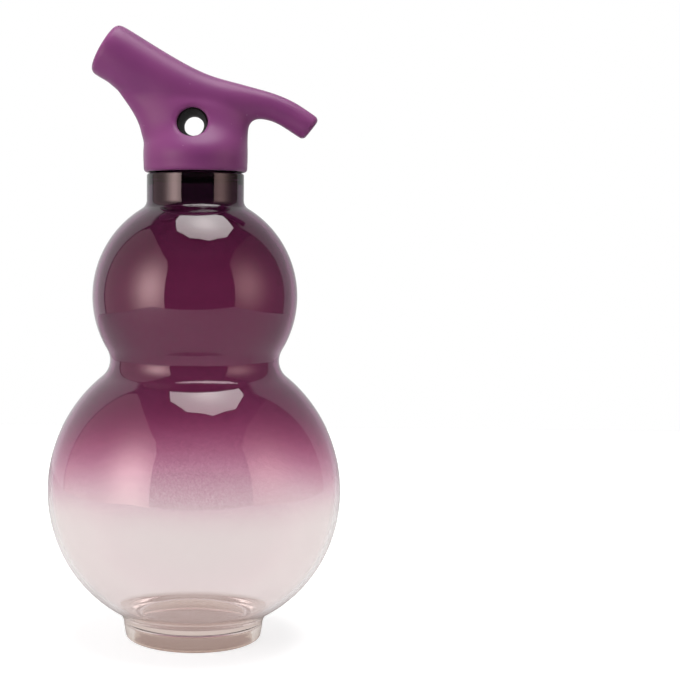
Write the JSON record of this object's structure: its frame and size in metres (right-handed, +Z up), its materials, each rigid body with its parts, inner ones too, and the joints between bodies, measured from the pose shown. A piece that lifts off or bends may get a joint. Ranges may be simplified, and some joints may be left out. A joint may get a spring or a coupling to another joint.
{
  "type": "gourd water bottle",
  "caption": "Gourd-shaped glass water bottle with a low foot and a screw lid shaped like a cut vine stem, bored for a carrying cord.",
  "frame": {"origin": "centre of the foot's resting plane, on the bottle's axis", "axes": "+Z up along the bottle's axis, +X along the thin branch of the lid, -Y towards the wide mouth of the cord hole"},
  "size_m": [0.138, 0.138, 0.2869],
  "materials": {
    "glass": "clear glass, tinted plum from the top, fading to clear near the foot",
    "silicone": "matt soft-touch silicone",
    "moulded_black": "fine moulded texture",
    "seal": "translucent white silicone"
  },
  "bodies": {
    "bottle": {"glass_bottle": "glass"},
    "seal": {"gasket": "seal"},
    "lid": {"thread_cup": "moulded_black", "stem_core": "moulded_black", "stem_skin": "silicone"}
  },
  "joints": [
    {"name": "lid_lift", "type": "slide", "parent": "bottle", "child": "seal", "axis": [0, 0, 1], "range_m": [0, 0.012]},
    {"name": "lid_turn", "type": "hinge", "parent": "seal", "child": "lid", "pos_m": [0, 0, 0.23], "axis": [0, 0, 1], "range_deg": [0, 1080]}
  ],
  "couplings": [
    {"joint": "lid_lift", "follows": "lid_turn", "m_per_rad": 0.00063662}
  ]
}
